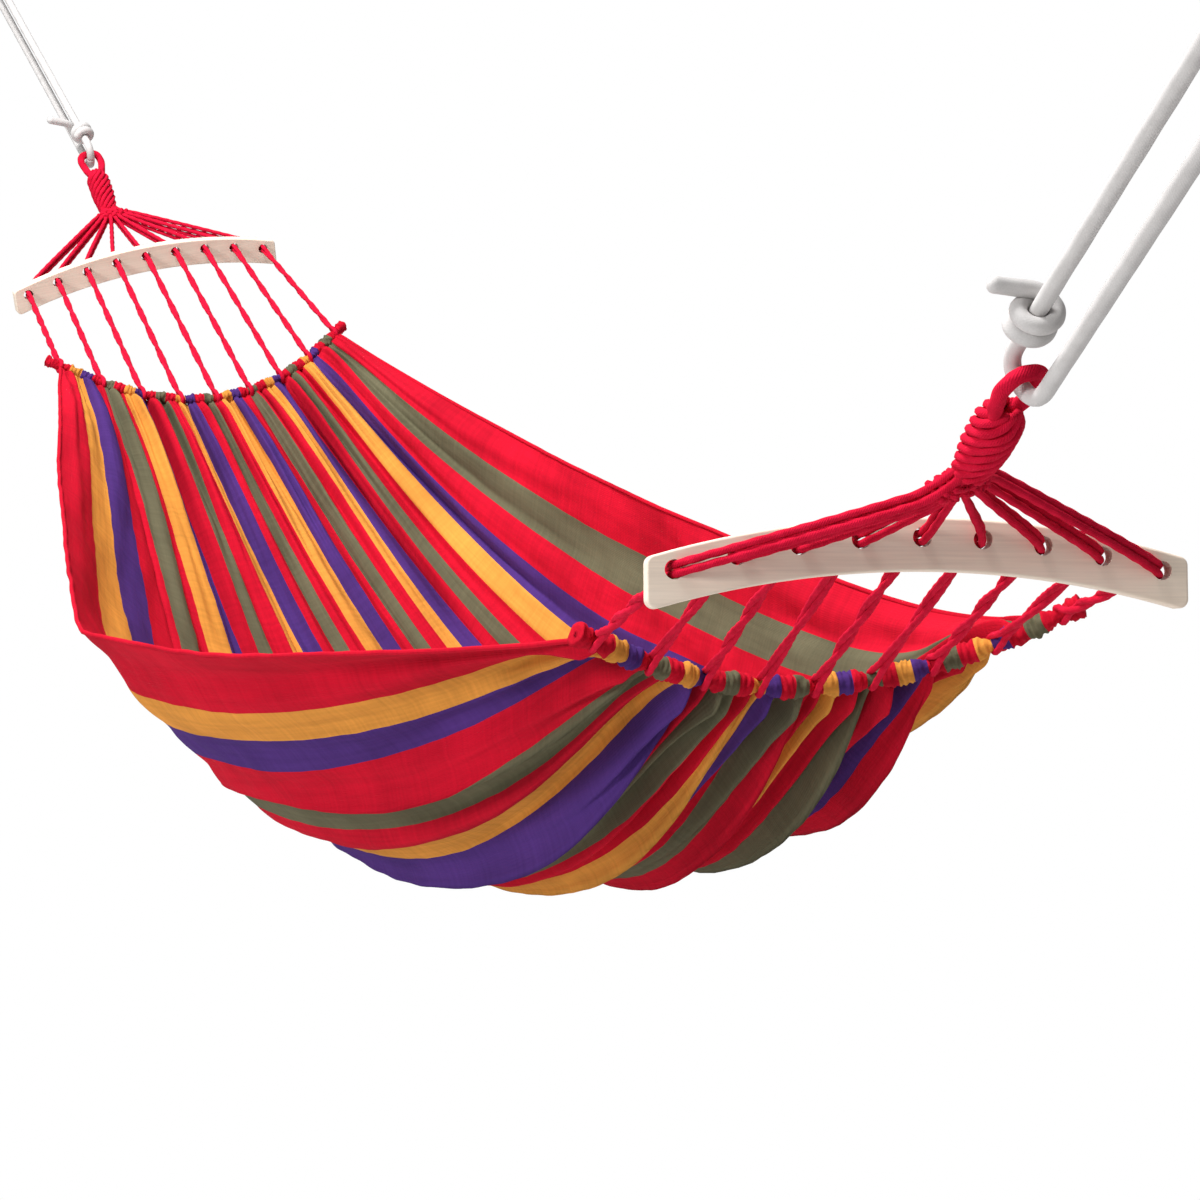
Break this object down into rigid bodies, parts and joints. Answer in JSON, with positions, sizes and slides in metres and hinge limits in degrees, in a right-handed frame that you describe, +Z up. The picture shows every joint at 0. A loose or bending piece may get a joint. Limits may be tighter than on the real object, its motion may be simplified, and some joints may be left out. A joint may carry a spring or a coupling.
{
  "type": "hammock with spreader bars",
  "caption": "Striped canvas hammock with arched wooden spreader bars, red clew cords and white hanging ropes, hung from two hooks.",
  "frame": {"origin": "middle of the half turn of rope that bears on the head-end hook", "axes": "+X from the head hook towards the foot end, level; +Y to the right rim of the bed; +Z up"},
  "size_m": [3.6296, 0.8642, 1.3239],
  "materials": {
    "striped_canvas": "woven cotton canvas in crimson, yellow-orange, purple and olive stripes",
    "hem_canvas": "gathered hem of the same canvas",
    "red_cord": "soft twisted cotton cord, crimson",
    "white_rope": "braided cotton rope, off-white",
    "pale_wood": "pale bare wood, sanded, rounded edges"
  },
  "bodies": {
    "hooks": {"head_hang_loop": "white_rope", "foot_hang_loop": "white_rope"},
    "ropes": {"head_hang_rope": "white_rope", "head_rope_hitch": "white_rope", "foot_hang_rope": "white_rope", "foot_rope_hitch": "white_rope"},
    "bed": {"canvas_bed": "striped_canvas", "head_clew_eye": "red_cord", "head_clew_bundle": "red_cord", "head_clew_whipping": "red_cord", "head_spreader_bar": "pale_wood", "head_hem_rope": "red_cord", "head_hem_sleeve": "hem_canvas", "foot_clew_eye": "red_cord", "foot_clew_bundle": "red_cord", "foot_clew_whipping": "red_cord", "foot_spreader_bar": "pale_wood", "foot_hem_rope": "red_cord", "foot_hem_sleeve": "hem_canvas", "head_clew_cord_1": "red_cord", "head_clew_cord_2": "red_cord", "head_clew_cord_3": "red_cord", "head_clew_cord_4": "red_cord", "head_clew_cord_5": "red_cord", "head_clew_cord_6": "red_cord", "head_clew_cord_7": "red_cord", "head_clew_cord_8": "red_cord", "head_clew_cord_9": "red_cord", "foot_clew_cord_1": "red_cord", "foot_clew_cord_2": "red_cord", "foot_clew_cord_3": "red_cord", "foot_clew_cord_4": "red_cord", "foot_clew_cord_5": "red_cord", "foot_clew_cord_6": "red_cord", "foot_clew_cord_7": "red_cord", "foot_clew_cord_8": "red_cord", "foot_clew_cord_9": "red_cord"}
  },
  "joints": [
    {"name": "swing", "type": "hinge", "parent": "hooks", "child": "ropes", "pos_m": [0, 0, 0], "axis": [0.9967, 0, -0.0807], "range_deg": [-25, 25]},
    {"name": "rock", "type": "hinge", "parent": "ropes", "child": "bed", "pos_m": [0.47101, 0, -0.33845], "axis": [0.9974, -0.0028, -0.0724], "range_deg": [-12, 12]}
  ]
}
